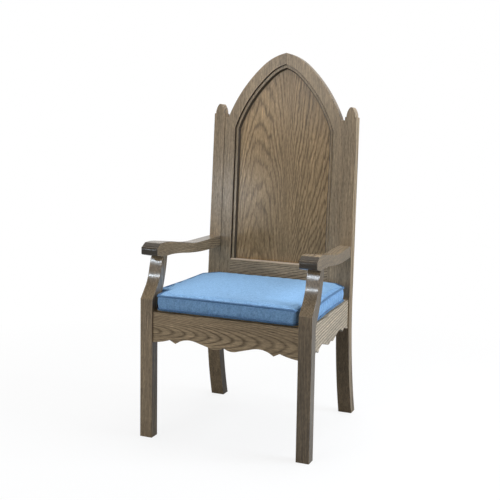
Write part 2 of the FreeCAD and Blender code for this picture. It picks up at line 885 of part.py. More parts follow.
def soft_outline(inset, height):
    """The cushion's outline at a height, with rounded corners and drawn-in long edges."""
    corners = inset_corners(cushion_corners(), inset)
    count = len(corners)
    points = []
    for i in range(count):
        here = Vector(*corners[i][:2], 0)
        back = (Vector(*corners[i - 1][:2], 0) - here).normalize()
        ahead = (Vector(*corners[(i + 1) % count][:2], 0) - here).normalize()
        half_turn = (math.pi - back.getAngle(ahead)) / 2
        setback = cushion_corner_radius * math.tan(half_turn)
        sag = cushion_corner_radius * (1 - math.cos(half_turn))
        bend = sag if back.cross(ahead).z > 0 else -sag
        enter = here + back * setback
        leave = here + ahead * setback
        points.append((enter.x, enter.y, corners[i][2]))
        points.append((leave.x, leave.y, bend))
    return outline(plan, points).translated(Vector(0, 0, height))


def cushion_form(inset):
    """The crowned, boxed solid of the cushion, made smaller all round."""
    low = cushion_low + inset
    high = cushion_edge + cushion_crown - inset
    edge = cushion_edge - inset
    bands = [
        (cushion_tuck, low),
        (0.0, low + cushion_band),
        (-cushion_bulge, (low + edge) / 2),
        (0.0, edge - cushion_band),
        (cushion_tuck, edge),
        (2 * cushion_tuck, high + cushion_tuck),
    ]
    body = Part.makeLoft([soft_outline(inset + tuck, z) for tuck, z in bands], True, True)
    corners = cushion_corners()
    middle = (corners[0][1] + max(y for _, y, _ in corners)) / 2
    reach = max(math.hypot(x, y - middle) for x, y, _ in corners)
    radius = (reach ** 2 + cushion_crown ** 2) / (2 * cushion_crown)
    dome = Part.makeSphere(radius, Vector(0, middle, high - radius))
    return body.common(dome)


def welt(edge, up, diameter):
    """A round cord along the turned-in edge of the cover, as a ring with flat sides. The sign up
    is 1 for the top edge of the cover and -1 for its bottom edge."""
    slope = math.hypot(cushion_tuck, cushion_band)
    stand = welt_diameter / 2 - welt_bed
    inset = cushion_tuck / 2 - stand * cushion_band / slope
    height = edge - up * (cushion_band / 2 - stand * cushion_tuck / slope)
    turn = 2 * math.pi / welt_sides
    angles = [-math.pi / 2 + (i + 0.5) * turn for i in range(welt_sides // 2)]
    half = diameter / 2
    outside = [soft_outline(inset - half * math.cos(a), height + half * math.sin(a)) for a in angles]
    inside = [soft_outline(inset + half * math.cos(a), height + half * math.sin(a)) for a in angles]
    return Part.makeLoft(outside, True, True).cut(Part.makeLoft(inside, True, True))


# Make every piece, cut its joints and write it out

os.makedirs("parts", exist_ok=True)

block_screws = block_screw_places()
board_screws = board_screw_places()
block_holes = [screw_hole(*place) for place in block_screws]
board_holes = [screw_hole(*place) for place in board_screws]
support_holes = dowel_holes(arm_support_dowel_places())
arm_end_holes = dowel_holes(arm_post_dowel_places())
stile_holes = dowel_holes(stile_post_dowel_places())
arch_holes = dowel_holes(arch_stile_dowel_places())
sill_holes = dowel_holes(bottom_rail_dowel_places())
apex_holes = dowel_holes(apex_dowel_places())
panel_groove = groove()

plain_post = back_post()
leg_mortises = [front_tenon(joint_play, end_play), side_front_tenon(joint_play, end_play)]
post_mortises = [rear_tenon(joint_play, end_play), side_back_tenon(joint_play, end_play)]

export_pair("front_leg", front_leg().cut(leg_mortises + support_holes))
raked_stile_holes = [raked(hole) for hole in stile_holes]
export_pair("back_post", plain_post.cut(post_mortises + arm_end_holes + raked_stile_holes))
export_pair("arm", arm().cut(support_holes + arm_end_holes))

front_hole, front_side_hole, rear_hole, back_side_hole = block_holes
export("front_rail", front_rail().cut([front_hole, mirrored(front_hole)]))
export("rear_seat_rail", rear_seat_rail().cut([rear_hole, mirrored(rear_hole)]))
export_pair("side_rail", side_rail(plain_post).cut([front_side_hole, back_side_hole]))

export_pair("back_stile", raked(stile().cut([panel_groove] + stile_holes + arch_holes + sill_holes)))
export_pair("back_arch", raked(arch_half().cut([panel_groove] + arch_holes + apex_holes)))
export("back_bottom_rail",
       raked(bottom_rail().cut([panel_groove] + sill_holes + [mirrored(hole) for hole in sill_holes])))
export("back_panel", raked(panel()))
upright_moulding, arch_moulding = mitred_moulding()
export_pair("panel_moulding", raked(upright_moulding))
export_pair("arch_moulding", raked(arch_moulding))

export("seat_board", seat_board().cut(board_holes + [mirrored(hole) for hole in board_holes]))
front_board_hole, back_board_hole = board_holes
export_pair("front_corner_block", front_block().cut([front_hole, front_side_hole, front_board_hole]))
export_pair("back_corner_block", back_block().cut([rear_hole, back_side_hole, back_board_hole]))
export("corner_block_screws", both_sides([screw(*place) for place in block_screws]))
export("seat_board_screws", both_sides([screw(*place) for place in board_screws]))

export("arm_support_dowels", both_sides(dowels(arm_support_dowel_places())))
export("arm_post_dowels", both_sides(dowels(arm_post_dowel_places())))
export("stile_post_dowels", raked(both_sides(dowels(stile_post_dowel_places()))))
export("arch_stile_dowels", raked(both_sides(dowels(arch_stile_dowel_places()))))
export("bottom_rail_dowels", raked(both_sides(dowels(bottom_rail_dowel_places()))))
export("apex_dowels", raked(Part.makeCompound(dowels(apex_dowel_places()))))

welt_beds = [welt(cushion_edge, 1, welt_diameter + 2 * welt_play),
             welt(cushion_low, -1, welt_diameter + 2 * welt_play)]
export("cushion_cover", cushion_form(0.0).cut([cushion_form(cover_thickness)] + welt_beds))
export("cushion_foam", cushion_form(cover_thickness + foam_play))
export("cushion_top_welt", welt(cushion_edge, 1, welt_diameter))
export("cushion_bottom_welt", welt(cushion_low, -1, welt_diameter))
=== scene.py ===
import json
import math

import bmesh
import bpy
from mathutils import Matrix, Vector
from mathutils.bvhtree import BVHTree
from mathutils.kdtree import KDTree


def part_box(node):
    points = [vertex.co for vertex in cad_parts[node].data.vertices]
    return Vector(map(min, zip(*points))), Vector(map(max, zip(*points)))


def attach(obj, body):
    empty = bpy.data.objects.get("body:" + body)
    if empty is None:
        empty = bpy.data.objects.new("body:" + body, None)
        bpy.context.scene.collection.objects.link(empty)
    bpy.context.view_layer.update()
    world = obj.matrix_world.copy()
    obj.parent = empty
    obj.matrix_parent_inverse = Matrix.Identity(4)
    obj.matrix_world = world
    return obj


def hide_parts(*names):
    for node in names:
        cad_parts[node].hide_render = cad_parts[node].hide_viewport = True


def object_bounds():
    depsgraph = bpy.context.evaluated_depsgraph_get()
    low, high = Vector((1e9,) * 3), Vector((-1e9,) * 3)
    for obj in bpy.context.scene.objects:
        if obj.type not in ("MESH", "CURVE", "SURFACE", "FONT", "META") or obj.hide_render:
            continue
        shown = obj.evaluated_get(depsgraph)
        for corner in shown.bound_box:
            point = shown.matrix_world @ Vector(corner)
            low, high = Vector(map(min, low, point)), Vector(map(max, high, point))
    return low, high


# The looks of a church armchair: stained oak with a satin lacquer, and a loose boxed cushion in blue
# woven cloth. Everything is in metres, +Z up, +Y to the back of the chair. Left and right are as seen
# by someone who faces the chair, so +X is to the right.

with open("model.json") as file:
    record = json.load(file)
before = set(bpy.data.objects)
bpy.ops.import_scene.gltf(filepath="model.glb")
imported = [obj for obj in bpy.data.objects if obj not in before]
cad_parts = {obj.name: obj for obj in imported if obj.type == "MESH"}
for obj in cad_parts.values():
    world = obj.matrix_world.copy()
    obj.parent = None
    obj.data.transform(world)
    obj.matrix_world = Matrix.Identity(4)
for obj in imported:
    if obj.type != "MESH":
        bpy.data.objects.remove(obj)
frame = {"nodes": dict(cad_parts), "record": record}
cad_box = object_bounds()
nodes = frame["nodes"]
CHAIR_TOP = cad_box[1][2]

# Directions that the wood's grain and faces follow
RAKE = math.radians(3.45)
UP = Vector((0, 0, 1))
RIGHT = Vector((1, 0, 0))
BACK = Vector((0, 1, 0))
FRONT = -BACK
BACK_UP = Vector((0, math.sin(RAKE), math.cos(RAKE)))
BACK_FACE = Vector((0, -math.cos(RAKE), math.sin(RAKE)))


def srgb(red, green, blue):
    """A colour given in the 0 to 255 scale of a picture, as linear light."""
    def linear(value):
        share = value / 255
        return share / 12.92 if share <= 0.04045 else ((share + 0.055) / 1.055) ** 2.4
    return linear(red), linear(green), linear(blue), 1.0


class Shader:
    """One material's node tree. Each method adds a node and gives its output."""

    def __init__(self, name):
        self.material = bpy.data.materials.new(name)
        self.material.use_nodes = True
        self.tree = self.material.node_tree
        self.tree.nodes.clear()
        self.place = self.node("ShaderNodeTexCoord").outputs["Object"]

    def node(self, kind, **settings):
        made = self.tree.nodes.new(kind)
        for key, value in settings.items():
            setattr(made, key, value)
        return made

    def feed(self, socket, value):
        if isinstance(value, bpy.types.NodeSocket):
            self.tree.links.new(value, socket)
        else:
            socket.default_value = value

    def math(self, operation, *values, clamp=False):
        made = self.node("ShaderNodeMath", operation=operation, use_clamp=clamp)
        for socket, value in zip(made.inputs, values):
            self.feed(socket, value)
        return made.outputs[0]

    def dot(self, vector, direction):
        made = self.node("ShaderNodeVectorMath", operation="DOT_PRODUCT")
        self.feed(made.inputs[0], vector)
        self.feed(made.inputs[1], tuple(direction))
        return made.outputs["Value"]

    def join(self, x, y, z):
        made = self.node("ShaderNodeCombineXYZ")
        for socket, value in zip(made.inputs, (x, y, z)):
            self.feed(socket, value)
        return made.outputs[0]

    def grey(self, value):
        return self.join(value, value, value)

    def split(self, vector):
        made = self.node("ShaderNodeSeparateXYZ")
        self.feed(made.inputs[0], vector)
        return made.outputs

    def noise(self, vector, scale=1.0, detail=2.0, roughness=0.5):
        made = self.node("ShaderNodeTexNoise")
        self.feed(made.inputs["Vector"], vector)
        made.inputs["Scale"].default_value = scale
        made.inputs["Detail"].default_value = detail
        made.inputs["Roughness"].default_value = roughness
        return made

    def random(self, value):
        made = self.node("ShaderNodeTexWhiteNoise", noise_dimensions="1D")
        self.feed(made.inputs["W"], value)
        return made.outputs["Value"]

    def ramp(self, factor, *stops):
        """Straight steps between (place, grey) stops."""
        made = self.node("ShaderNodeValToRGB")
        elements = made.color_ramp.elements
        for i, (place, grey) in enumerate(stops):
            element = elements[i] if i < len(elements) else elements.new(place)
            element.position = place
            element.color = (grey, grey, grey, 1.0)
        self.feed(made.inputs["Fac"], factor)
        return made.outputs["Color"]

    def spread(self, value, low, high, to_low=0.0, to_high=1.0):
        """The value's range from low to high, drawn out to another range and cut off at its ends."""
        made = self.node("ShaderNodeMapRange")
        for key, number in (("Value", value), ("From Min", low), ("From Max", high),
                            ("To Min", to_low), ("To Max", to_high)):
            self.feed(made.inputs[key], number)
        return made.outputs["Result"]

    def mix(self, factor, first, second, blend="MIX"):
        made = self.node("ShaderNodeMix", data_type="RGBA", blend_type=blend)
        self.feed(made.inputs[0], factor)
        self.feed(made.inputs[6], first)
        self.feed(made.inputs[7], second)
        return made.outputs[2]

    def shaded(self, colour, shade):
        return self.mix(1.0, colour, self.grey(shade), blend="MULTIPLY")

    def bump(self, height, distance, strength):
        made = self.node("ShaderNodeBump")
        made.inputs["Strength"].default_value = strength
        made.inputs["Distance"].default_value = distance
        self.feed(made.inputs["Height"], height)
        return made.outputs["Normal"]

    def surface(self, colour, roughness, normal, **constants):
        """Close the tree with one shader, whose other sockets hold plain constants."""
        shader = self.node("ShaderNodeBsdfPrincipled")
        self.feed(shader.inputs["Base Color"], colour)
        self.feed(shader.inputs["Roughness"], roughness)
        self.feed(shader.inputs["Normal"], normal)
        for key, value in constants.items():
            shader.inputs[key.replace("_", " ")].default_value = value
        output = self.node("ShaderNodeOutputMaterial")
        self.tree.links.new(shader.outputs[0], output.inputs["Surface"])
        return self.material


# Wood

OAK_LIGHT = srgb(194, 169, 135)
OAK_DARK = srgb(101, 84, 63)
RAIL_LIGHT = srgb(204, 186, 160)
RAIL_DARK = srgb(78, 66, 50)
PANEL_LIGHT = srgb(203, 169, 122)
PANEL_DARK = srgb(94, 73, 50)
PORE = srgb(46, 38, 31)
# Dark tint: stain on the arms' end grain, and painted shade in mouldings, joints and on shaded sides
STAIN_AND_PAINTED_SHADE = srgb(48, 42, 35)
# Pale tint: a painted highlight on the top of the back frame's sill
SILL_PAINTED_HIGHLIGHT = srgb(206, 186, 166)

# How pale a growth ring is from its dark start to its end, and how open its pores are there
RING_PALENESS = ((0.0, 0.04), (0.12, 0.20), (0.34, 0.92), (0.78, 0.84), (1.0, 0.04))
RING_PORES = ((0.0, 1.0), (0.30, 0.85), (0.5, 0.25), (1.0, 0.6))
MEAN_PALENESS = (0.60, 0.60, 0.60, 1.0)
FAINTEST_RING = 0.35
RING_SPACING = 0.0048
RING_WARP = 0.010

# Noises of the wood: scale along the grain, scale across it, and detail
BENDS = (3.0, 11.0, 3.0)
FIBRES = (14.0, 420.0, 3.0)
PORES = (38.0, 1000.0, 1.0)
STREAKS = (5.0, 120.0, 2.0)
CLOUDS = (1.6, 7.0, 2.0)
FLECKS = (70.0, 260.0, 2.0)
RIPPLES = (7.0, 46.0, 2.0)

# Noises that shade the wood, each with a shift of its seed and its darkest and palest shade
SHADES = ((CLOUDS, 7.0, 0.88, 1.12), (STREAKS, 3.0, 0.82, 1.14), (FLECKS, 5.0, 0.78, 1.20))
FIBRE_SHADES = (0.64, 1.24)
PORE_TINT = 0.7
FIBRE_RELIEF = 0.4
# The most that a facing tint of stain, painted shade and painted highlight covers
FACING_TINT_LIMIT = 0.85
SATIN = 0.25
LACQUER = {"Coat_Roughness": 0.17, "IOR": 1.48, "Specular_IOR_Level": 0.25}


def stretched(shader, fields, scales, seed, roughness):
    """Noise drawn out along the grain."""
    u, v, w = fields
    along_scale, across_scale, detail = scales
    place = shader.join(shader.math("MULTIPLY_ADD", u, along_scale, seed),
                        shader.math("MULTIPLY", v, across_scale),
                        shader.math("MULTIPLY", w, across_scale))
    return shader.noise(place, detail=detail, roughness=roughness)


def grain_noise(shader, fields, scales, seed):
    return stretched(shader, fields, scales, seed, 0.6).outputs["Fac"]


def wood_fields(shader, along, across, face, seed):
    """Coordinates along and across the grain, and the noise that bends the growth rings."""
    fields = [shader.dot(shader.place, direction) for direction in (along, across, face)]
    bends = shader.split(stretched(shader, fields, BENDS, seed, 0.45).outputs["Color"])
    return fields, bends


def waving(shader, noise, width):
    """A noise from 0 to 1 as a shift to both sides."""
    return shader.math("MULTIPLY_ADD", noise, width, -width / 2)


def ring_radius(shader, first, second):
    return shader.math("SQRT", shader.math("ADD", shader.math("MULTIPLY", first, first),
                                           shader.math("MULTIPLY", second, second)))


def stain_and_painted_light(tint, direction, begin, full, top=CHAIR_TOP):
    """A tint of the faces that look a given way, up to a given height: stain on end grain, painted shade
    and painted highlight elsewhere. It begins and is full at two cosines, and a full above 1 keeps it thin."""
    return tint, direction, begin, full, top


def wood_finish(shader, fields, phase, seed, light, dark, contrast, gloss, tone, stains_and_painted_light, foot):
    """Colour, pores and lacquer over a growth ring phase. The tints stand for stain that gathers on end
    grain, and for painted shade in mouldings, joints and shaded sides and a painted highlight on the sill.
    The foot, painted shade and light towards a piece's bottom, is given by two heights, between which the
    tone fades, and by its own tone below them."""
    saw = shader.math("FRACT", phase)
    ring = shader.math("FLOOR", phase)
    chance = shader.random(shader.math("ADD", ring, seed))
    strength = shader.spread(chance, 0.0, 1.0, FAINTEST_RING * contrast, contrast)
    lines = shader.mix(strength, MEAN_PALENESS, shader.ramp(saw, *RING_PALENESS))
    colour = shader.mix(lines, dark, light)

    fibre = grain_noise(shader, fields, FIBRES, seed)
    darkest, palest = FIBRE_SHADES
    shade = shader.spread(fibre, 0.25, 0.75, darkest * tone, palest * tone)
    for scales, seed_shift, darkest, palest in SHADES:
        noise = grain_noise(shader, fields, scales, seed + seed_shift)
        shade = shader.math("MULTIPLY", shade, shader.spread(noise, 0.3, 0.7, darkest, palest))
    height = shader.dot(shader.place, UP)
    # Painted light and shade by height: a tone of its own below the foot's heights
    if foot is not None:
        low, high, foot_tone = foot
        shade = shader.math("MULTIPLY", shade, shader.spread(height, low, high, foot_tone, 1.0))
    colour = shader.shaded(colour, shade)

    holes = shader.spread(grain_noise(shader, fields, PORES, seed), 0.56, 0.68)
    pores = shader.math("MULTIPLY", holes, shader.ramp(saw, *RING_PORES), clamp=True)
    colour = shader.mix(shader.math("MULTIPLY", pores, PORE_TINT), colour, PORE)
    # Stain on end grain, and painted shade and painted highlight on faces that look a given way
    for tint, direction, begin, full, top in stains_and_painted_light:
        facing = shader.dot(shader.node("ShaderNodeNewGeometry").outputs["Normal"], direction)
        share = shader.math("MULTIPLY", shader.spread(facing, begin, full, 0.0, FACING_TINT_LIMIT),
                            shader.math("LESS_THAN", height, top))
        colour = shader.mix(share, colour, tint)

    relief = shader.math("SUBTRACT", shader.math("MULTIPLY", fibre, FIBRE_RELIEF), pores)
    roughness = shader.spread(fibre, 0.2, 0.8, 0.34, 0.50)
    return shader.surface(colour, roughness, shader.bump(relief, distance=0.0002, strength=0.6),
                          Coat_Weight=gloss, **LACQUER)


def oak(name, along, face, pith, lean, seed, spacing=RING_SPACING, light=OAK_LIGHT, dark=OAK_DARK,
        contrast=0.9, gloss=SATIN, tone=1.0, stains_and_painted_light=(), foot=None):
    """Oak cut from rings round a pith line. The pith is given across the piece and along its face,
    and lean says how far it moves in those two directions for each metre along the grain."""
    shader = Shader(name)
    fields, bends = wood_fields(shader, along, face.cross(along).normalized(), face, seed)
    u, v, w = fields
    shifted = []
    for value, centre, slope, bend in zip((v, w), pith, lean, bends):
        drift = shader.math("MULTIPLY_ADD", u, -slope, -centre)
        wave = waving(shader, bend, RING_WARP)
        shifted.append(shader.math("ADD", shader.math("ADD", value, drift), wave))
    phase = shader.math("DIVIDE", ring_radius(shader, *shifted), spacing)
    return wood_finish(shader, fields, phase, seed, light, dark, contrast, gloss, tone, stains_and_painted_light, foot)


# The panel's face and foot, where its two leaves of veneer meet, and the figure of each
PANEL_FACE = -0.1895
PANEL_FOOT = 0.56
# Painted shade: the panel darkens towards its foot between two heights, to the last tone
PANEL_PAINTED_SHADE = (0.58, 0.90, 0.80)
LEAF_EDGE = -0.005
LEAF_SWAY = 0.024
PEAK_LINE = -0.092
PEAK_DEPTH = 0.13
PEAK_LEAN = 0.074
PEAK_WAVE = 0.012
PEAK_RIPPLE = 0.0085
PEAK_SPACING = 0.0056
FAN_FOOT = 0.30
FAN_START = 0.07
FAN_LINES = 11.0
FAN_RIPPLE = 2.0


def panel_oak(name, seed):
    """Two leaves of veneer: pointed arches of flat-cut oak on the left, slanting lines on the right."""
    shader = Shader(name)
    fields, bends = wood_fields(shader, BACK_UP, RIGHT, BACK_FACE, seed)
    u, v, w = fields
    ripple = shader.math("SUBTRACT", grain_noise(shader, fields, RIPPLES, seed + 1.0), 0.5)
    sway = waving(shader, bends[0], LEAF_SWAY)
    wave = shader.math("MULTIPLY_ADD", ripple, PEAK_RIPPLE, waving(shader, bends[1], PEAK_WAVE))

    climb = shader.math("SUBTRACT", u, PANEL_FOOT)
    depth = shader.math("MULTIPLY_ADD", climb, PEAK_LEAN, PEAK_DEPTH - PANEL_FACE)
    depth = shader.math("ADD", shader.math("ADD", depth, w), wave)
    offset = shader.math("ADD", shader.math("SUBTRACT", v, PEAK_LINE), sway)
    arches = shader.math("DIVIDE", ring_radius(shader, offset, depth), PEAK_SPACING)

    edge = shader.math("ADD", shader.math("SUBTRACT", v, LEAF_EDGE), sway)
    slant = shader.math("DIVIDE", shader.math("MAXIMUM", edge, 0.0), shader.math("SUBTRACT", u, FAN_FOOT))
    lines = shader.math("LOGARITHM", shader.math("ADD", slant, FAN_START), math.e)
    lines = shader.math("MULTIPLY_ADD", lines, FAN_LINES, shader.math("MULTIPLY", ripple, FAN_RIPPLE))

    right_leaf = shader.math("GREATER_THAN", edge, 0.0)
    phase = shader.math("MULTIPLY_ADD", right_leaf, shader.math("SUBTRACT", lines, arches), arches)
    return wood_finish(shader, fields, phase, seed, PANEL_LIGHT, PANEL_DARK, contrast=0.70, gloss=SATIN,
                       tone=0.94, stains_and_painted_light=(), foot=PANEL_PAINTED_SHADE)


def plain(name, colour, roughness, scale, depth, **constants):
    """A quiet material for what is hardly seen: one colour with fine speckle and grain."""
    shader = Shader(name)
    speckle = shader.noise(shader.place, scale=scale, detail=4.0, roughness=0.6).outputs["Fac"]
    tinted = shader.shaded(colour, shader.spread(speckle, 0.25, 0.75, 0.8, 1.15))
    dullness = shader.spread(speckle, 0.2, 0.8, roughness - 0.06, roughness + 0.06)
    return shader.surface(tinted, dullness, shader.bump(speckle, depth, strength=0.5), **constants)


# Pieces made from copies of the solids

# Distance within which points are one, and the angles up to which faces are one flat stretch, from
# which edges are eased, and from which shading breaks
WELD = 2e-6
FLAT_ANGLE = math.radians(0.4)
EASE_ANGLE = math.radians(28)
SHARP_ANGLE = math.radians(32)

# Widths of the eased edges
EASE = 0.0012
POST_EASE = 0.0032
ARM_EASE = 0.0035
JOINT_EASE = 0.0004
MOULDING_EASE = 0.0006


def draft_object(name, mesh):
    draft = bpy.data.objects.new(name, mesh)
    bpy.context.scene.collection.objects.link(draft)
    return draft


def new_piece(name, mesh, node, body, material):
    piece = bpy.data.objects.new(name, mesh)
    bpy.context.scene.collection.objects.link(piece)
    mesh.materials.clear()
    mesh.materials.append(material)
    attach(piece, body)
    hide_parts(node)
    return piece


def applied(piece):
    """The piece's mesh with its modifiers applied, as a mesh of its own."""
    bpy.context.view_layer.update()
    graph = bpy.context.evaluated_depsgraph_get()
    return bpy.data.meshes.new_from_object(piece.evaluated_get(graph), depsgraph=graph)


def shade_smooth(mesh):
    mesh.polygons.foreach_set("use_smooth", [True] * len(mesh.polygons))


def clean_copy(node):
    """A copy of a node's mesh with its flat stretches joined into whole faces."""
    mesh = nodes[node].data.copy()
    form = bmesh.new()
    form.from_mesh(mesh)
    bmesh.ops.remove_doubles(form, verts=form.verts, dist=WELD)
    bmesh.ops.dissolve_limit(form, angle_limit=FLAT_ANGLE, verts=form.verts, edges=form.edges)
    form.to_mesh(mesh)
    form.free()
    return mesh


def softened(node, material, width=EASE):
    """A piece of the frame that stands for a node, with the node's sharp edges eased and its flat faces
    shaded flat."""
    draft = draft_object(node + "_draft", clean_copy(node))
    bevel = draft.modifiers.new("ease", "BEVEL")
    bevel.width = width
    bevel.segments = 3
    bevel.limit_method = "ANGLE"
    bevel.angle_limit = EASE_ANGLE
    mesh = applied(draft)
    draft.modifiers.clear()
    draft.data = mesh
    shade_smooth(mesh)
    mesh.set_sharp_from_angle(angle=SHARP_ANGLE)
    weigh = draft.modifiers.new("weigh", "WEIGHTED_NORMAL")
    weigh.mode = "FACE_AREA"
    weigh.weight = 100
    weigh.keep_sharp = True
    mesh = applied(draft)
    bpy.data.objects.remove(draft)
    return new_piece(node + "_finished", mesh, node, "chair_frame", material)


# Oak pieces: each has its own cut of the tree

FINIAL_FOOT = 1.06
# Heights between which the front legs' painted light and shade at the foot fade in
LEG_PAINTED_FOOT_HEIGHTS = (0.40, 0.54)
# Painted shade at the posts' foot, darker below the seat: the heights between which it fades in, and its
# tone below them
POST_PAINTED_SHADE = (0.30, 0.52, 0.76)
SIDE_SEED = 3.1

for sign, side in ((-1, "left"), (1, "right")):
    shift = SIDE_SEED * sign
    inward = Vector((-0.7 * sign, 0, -0.7))
    # Painted shade in the grooves of the mouldings and along the opening's edges, on faces that look
    # inwards and down
    moulding_painted_shade = stain_and_painted_light(STAIN_AND_PAINTED_SHADE, inward, begin=0.25, full=0.6)
    # Painted shade along the joint between the back frame and the post, on faces that look outwards and up
    joint_painted_shade = stain_and_painted_light(STAIN_AND_PAINTED_SHADE, -inward, begin=0.3, full=1.6)

    # Painted shade on the legs' right-facing sides; lower down the right leg gets painted shade and the
    # left one painted light
    leg_oak = oak("oak_front_leg_" + side, UP, FRONT, pith=(0.33 * sign, 0.06), lean=(0.02, 0.01),
                  seed=11 + shift, gloss=1.0, tone=0.77 - 0.03 * sign,
                  stains_and_painted_light=[stain_and_painted_light(STAIN_AND_PAINTED_SHADE, RIGHT, begin=0.2, full=2.0)], foot=(*LEG_PAINTED_FOOT_HEIGHTS, 1.0 - 0.18 * sign))
    softened("front_leg_" + side, leg_oak)

    # Painted shade on the posts' inner faces below the finials, next to the back frame, and darker below
    # the seat
    post_oak = oak("oak_back_post_" + side, BACK_UP, BACK_FACE, pith=(0.40 * sign, -0.30),
                   lean=(-0.01, 0.012), seed=23 + shift, tone=0.92,
                   stains_and_painted_light=[stain_and_painted_light(STAIN_AND_PAINTED_SHADE, RIGHT * -sign, begin=0.6, full=0.95, top=FINIAL_FOOT)],
                   foot=POST_PAINTED_SHADE)
    softened("back_post_" + side, post_oak, width=POST_EASE)

    # Stain gathers on the end grain of the noses; the left arm's lower tone is painted shade
    arm_oak = oak("oak_arm_" + side, BACK, UP, pith=(-0.30 * sign, 0.57), lean=(0.05, 0.02),
                  seed=31 + shift, contrast=1.0, gloss=0.9, tone=0.68 + 0.05 * sign,
                  stains_and_painted_light=[stain_and_painted_light(STAIN_AND_PAINTED_SHADE, FRONT, begin=0.10, full=0.45)])
    softened("arm_" + side, arm_oak, width=ARM_EASE)

    rail_oak = oak("oak_side_rail_" + side, BACK, RIGHT * sign, pith=(0.25 * sign, 0.17),
                   lean=(0.04 * sign, 0.004), seed=41 + shift, spacing=0.0085,
                   light=RAIL_LIGHT, dark=RAIL_DARK, contrast=1.0, tone=1.27)
    softened("side_rail_" + side, rail_oak)

    frame_oak = oak("oak_back_frame_" + side, BACK_UP, BACK_FACE, pith=(0.34 * sign, -0.27),
                    lean=(0.035 * sign, 0.02), seed=53 + shift, tone=0.94, stains_and_painted_light=[moulding_painted_shade, joint_painted_shade])
    for part in ("back_stile_", "back_arch_"):
        softened(part + side, frame_oak, width=JOINT_EASE)

    for part in ("panel_moulding_", "arch_moulding_"):
        moulding_oak = oak("oak_" + part + side, BACK_UP, BACK_FACE, pith=(0.35 * sign, -0.3),
                           lean=(0.0, 0.0), seed=71 + shift, stains_and_painted_light=[moulding_painted_shade])
        softened(part + side, moulding_oak, width=MOULDING_EASE)

softened("front_rail", oak("oak_front_rail", RIGHT, FRONT, pith=(0.378, 0.2415), lean=(0.0, -0.10),
                           seed=83, spacing=0.0046, contrast=1.0, tone=1.06))
softened("rear_seat_rail", oak("oak_rear_seat_rail", RIGHT, BACK, pith=(-0.36, 0.16), lean=(0.02, 0.06),
                               seed=87))
# The pale tint on the sill's upward faces is a painted highlight
softened("back_bottom_rail", oak("oak_back_bottom_rail", RIGHT, BACK_FACE, pith=(0.47, -0.29),
                                 lean=(0.06, 0.08), seed=91, tone=0.95,
                                 stains_and_painted_light=[stain_and_painted_light(SILL_PAINTED_HIGHLIGHT, BACK_UP, begin=0.3, full=0.8)]))
softened("back_panel", panel_oak("oak_back_panel", seed=97), width=MOULDING_EASE)

# What is hardly seen keeps its solid and gets its own material

beech = plain("beech", srgb(201, 168, 128), roughness=0.6, scale=180.0, depth=0.0002)
plywood = plain("plywood", srgb(194, 163, 120), roughness=0.62, scale=90.0, depth=0.0003)
steel = plain("zinc_plated_steel", srgb(176, 178, 180), roughness=0.35, scale=400.0, depth=0.00005,
              Metallic=1.0)
by_slot = {"beech": beech, "plywood": plywood, "steel": steel}
for row in frame["record"]["subparts"]:
    if row["material_slot"] in by_slot:
        hidden_mesh = nodes[row["node"]].data
        hidden_mesh.materials.clear()
        hidden_mesh.materials.append(by_slot[row["material_slot"]])

# The cushion

CLOTH_LIGHT = srgb(160, 204, 246)
CLOTH_DARK = srgb(92, 136, 184)
# The piping is darker than the cover: painted shade along the seams
WELT_LIGHT = srgb(104, 142, 184)
WELT_DARK = srgb(62, 96, 136)
THREAD_RELIEF = 0.3
NAP = {"Sheen_Weight": 0.5, "Sheen_Roughness": 0.4, "Sheen_Tint": (0.50, 0.78, 1.0, 1.0)}


def woven(name, light, dark, pitch):
    """Plain woven cloth with slightly uneven threads."""
    shader = Shader(name)
    slub = shader.noise(shader.place, scale=210.0, detail=3.0, roughness=0.65).outputs["Fac"]
    heather = shader.noise(shader.place, scale=60.0).outputs["Fac"]
    threads = []
    for value in shader.split(shader.place):
        turn = shader.math("MULTIPLY", value, math.pi / pitch)
        threads.append(shader.math("ABSOLUTE", shader.math("SINE", turn)))
    height = shader.math("ADD", shader.math("ADD", threads[0], threads[1]), threads[2])
    tone = shader.math("ADD", shader.spread(slub, 0.36, 0.64, 0.22, 0.66),
                       shader.spread(heather, 0.3, 0.7, 0.0, 0.15))
    colour = shader.mix(tone, dark, light)
    relief = shader.math("ADD", shader.math("MULTIPLY", height, THREAD_RELIEF), slub)
    return shader.surface(colour, 0.85, shader.bump(relief, distance=0.0003, strength=0.6), **NAP)


cover_cloth = woven("cushion_cloth", CLOTH_LIGHT, CLOTH_DARK, pitch=0.0011)
welt_cloth_painted_shade = woven("cushion_welt_cloth_painted_shade", WELT_LIGHT, WELT_DARK, pitch=0.0009)

TOP_SEAM = sum(corner.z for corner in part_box("cushion_top_welt")) / 2
LOW_SEAM = sum(corner.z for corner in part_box("cushion_bottom_welt")) / 2
CUSHION_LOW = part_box("cushion_cover")[0].z
SEAM_REACH = 0.0045
WALL_MARGIN = 0.012
SWELL_LIMIT = 0.0030
SEAT_CLEARANCE = 0.0002
WELT_RISE = 0.0062
VOXEL = 0.005
CLOTH_FRAMES = 20


def even_mesh(node):
    """A copy of a node's form in small squares of one size."""
    draft = draft_object(node + "_draft", nodes[node].data.copy())
    remesh = draft.modifiers.new("even", "REMESH")
    remesh.mode = "VOXEL"
    remesh.voxel_size = VOXEL
    mesh = applied(draft)
    bpy.data.objects.remove(draft)
    return mesh


